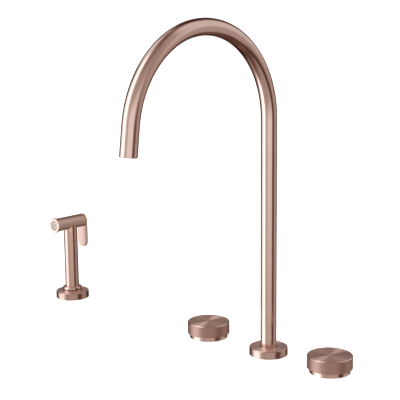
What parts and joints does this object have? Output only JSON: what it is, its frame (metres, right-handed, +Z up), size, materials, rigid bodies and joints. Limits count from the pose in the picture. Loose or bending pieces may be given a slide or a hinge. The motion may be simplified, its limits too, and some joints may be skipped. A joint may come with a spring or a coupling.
{
  "type": "side spray kitchen faucet",
  "caption": "Deck-mounted kitchen tap in brushed copper: swan-neck swivel spout, flat round knobs each side and a lift-out hand spray with a squeeze paddle.",
  "frame": {"origin": "on the spout's axis, where its base meets the top of the worktop", "axes": "+X along the row of units, from the hand spray towards the cold knob; -Y towards the user, the way the spout points; +Z up"},
  "size_m": [0.5798, 0.2948, 0.562],
  "materials": {
    "brushed_copper": "satin",
    "polished_copper": "polished",
    "bare_brass": "satin",
    "stainless": "satin",
    "black_rubber": "matte",
    "white_nylon": "matte",
    "ceramic": "satin",
    "cream_plastic": "satin",
    "grey_silicone": "matte"
  },
  "bodies": {
    "deck_set": {"deck_seals": "black_rubber", "rubber_washers": "black_rubber", "steel_washers": "stainless", "lock_nuts": "bare_brass", "spout_shank": "bare_brass", "spout_flange": "brushed_copper", "bearing_ring": "white_nylon", "snap_ring": "white_nylon", "spout_o_rings": "black_rubber", "inlet_tee": "bare_brass", "diverter_cage": "white_nylon", "diverter_spring": "stainless", "seat_seals": "black_rubber", "holder_shank": "bare_brass", "holder_collar": "polished_copper", "holder_flange": "brushed_copper", "holder_liner": "white_nylon", "hot_valve_body": "bare_brass", "hot_base_ring": "polished_copper", "hot_cartridge": "bare_brass", "hot_fixed_disc": "ceramic", "cold_valve_body": "bare_brass", "cold_base_ring": "polished_copper", "cold_cartridge": "bare_brass", "cold_fixed_disc": "ceramic"},
    "spout": {"spout_tube": "brushed_copper", "aerator_housing": "brushed_copper", "aerator_insert": "white_nylon", "aerator_washer": "black_rubber"},
    "hot_handle": {"hot_knob": "brushed_copper", "hot_knob_adapter": "white_nylon", "hot_grub_screw": "stainless", "hot_stem": "bare_brass", "hot_stem_o_ring": "black_rubber", "hot_moving_disc": "ceramic"},
    "cold_handle": {"cold_knob": "brushed_copper", "cold_knob_adapter": "white_nylon", "cold_grub_screw": "stainless", "cold_stem": "bare_brass", "cold_stem_o_ring": "black_rubber", "cold_moving_disc": "ceramic"},
    "hose_end": {"hose_swivel": "bare_brass", "swivel_o_ring": "black_rubber"},
    "hand_spray": {"spray_handle": "brushed_copper", "spray_foot": "polished_copper", "spray_plug": "bare_brass", "spray_head": "brushed_copper", "rim_ring": "polished_copper", "spray_face": "cream_plastic", "nozzle_mat": "grey_silicone", "mat_retainer": "white_nylon", "valve_seat": "white_nylon", "stem_seal": "black_rubber", "spray_spring": "stainless", "lever_pin": "stainless"},
    "spray_lever": {"lever": "brushed_copper"},
    "pull_rod": {"spray_stem": "bare_brass", "stem_washer": "black_rubber"},
    "diverter": {"diverter_piston": "white_nylon", "diverter_seal": "black_rubber"}
  },
  "joints": [
    {"name": "spout_swivel", "type": "hinge", "parent": "deck_set", "child": "spout", "pos_m": [0, 0, 0], "axis": [0, 0, 1], "continuous": true},
    {"name": "hot_turn", "type": "hinge", "parent": "deck_set", "child": "hot_handle", "pos_m": [-0.113, 0, 0], "axis": [0, 0, 1], "range_deg": [0, 90]},
    {"name": "cold_turn", "type": "hinge", "parent": "deck_set", "child": "cold_handle", "pos_m": [0.105, 0, 0], "axis": [0, 0, 1], "range_deg": [-90, 0]},
    {"name": "spray_lift", "type": "slide", "parent": "deck_set", "child": "hose_end", "axis": [0, 0, 1], "range_m": [0, 0.06]},
    {"name": "spray_turn", "type": "hinge", "parent": "hose_end", "child": "hand_spray", "pos_m": [-0.418, 0, 0], "axis": [0, 0, 1], "continuous": true},
    {"name": "lever_squeeze", "type": "hinge", "parent": "hand_spray", "child": "spray_lever", "pos_m": [-0.418, 0.02, 0.1159], "axis": [-1, 0, 0], "range_deg": [0, 10], "stiffness_Nm_per_rad": 0.25, "springref_deg": -20.05},
    {"name": "rod_pull", "type": "slide", "parent": "hand_spray", "child": "pull_rod", "axis": [0, 1, 0], "range_m": [0, 0.0014], "deforming": ["spray_spring"]},
    {"name": "diverter_lift", "type": "slide", "parent": "deck_set", "child": "diverter", "axis": [0, 0, 1], "range_m": [0, 0.004], "stiffness_N_per_m": 60, "springref_m": -0.004, "deforming": ["diverter_spring"]}
  ],
  "couplings": [
    {"joint": "rod_pull", "follows": "lever_squeeze", "m_per_rad": 0.0079}
  ]
}
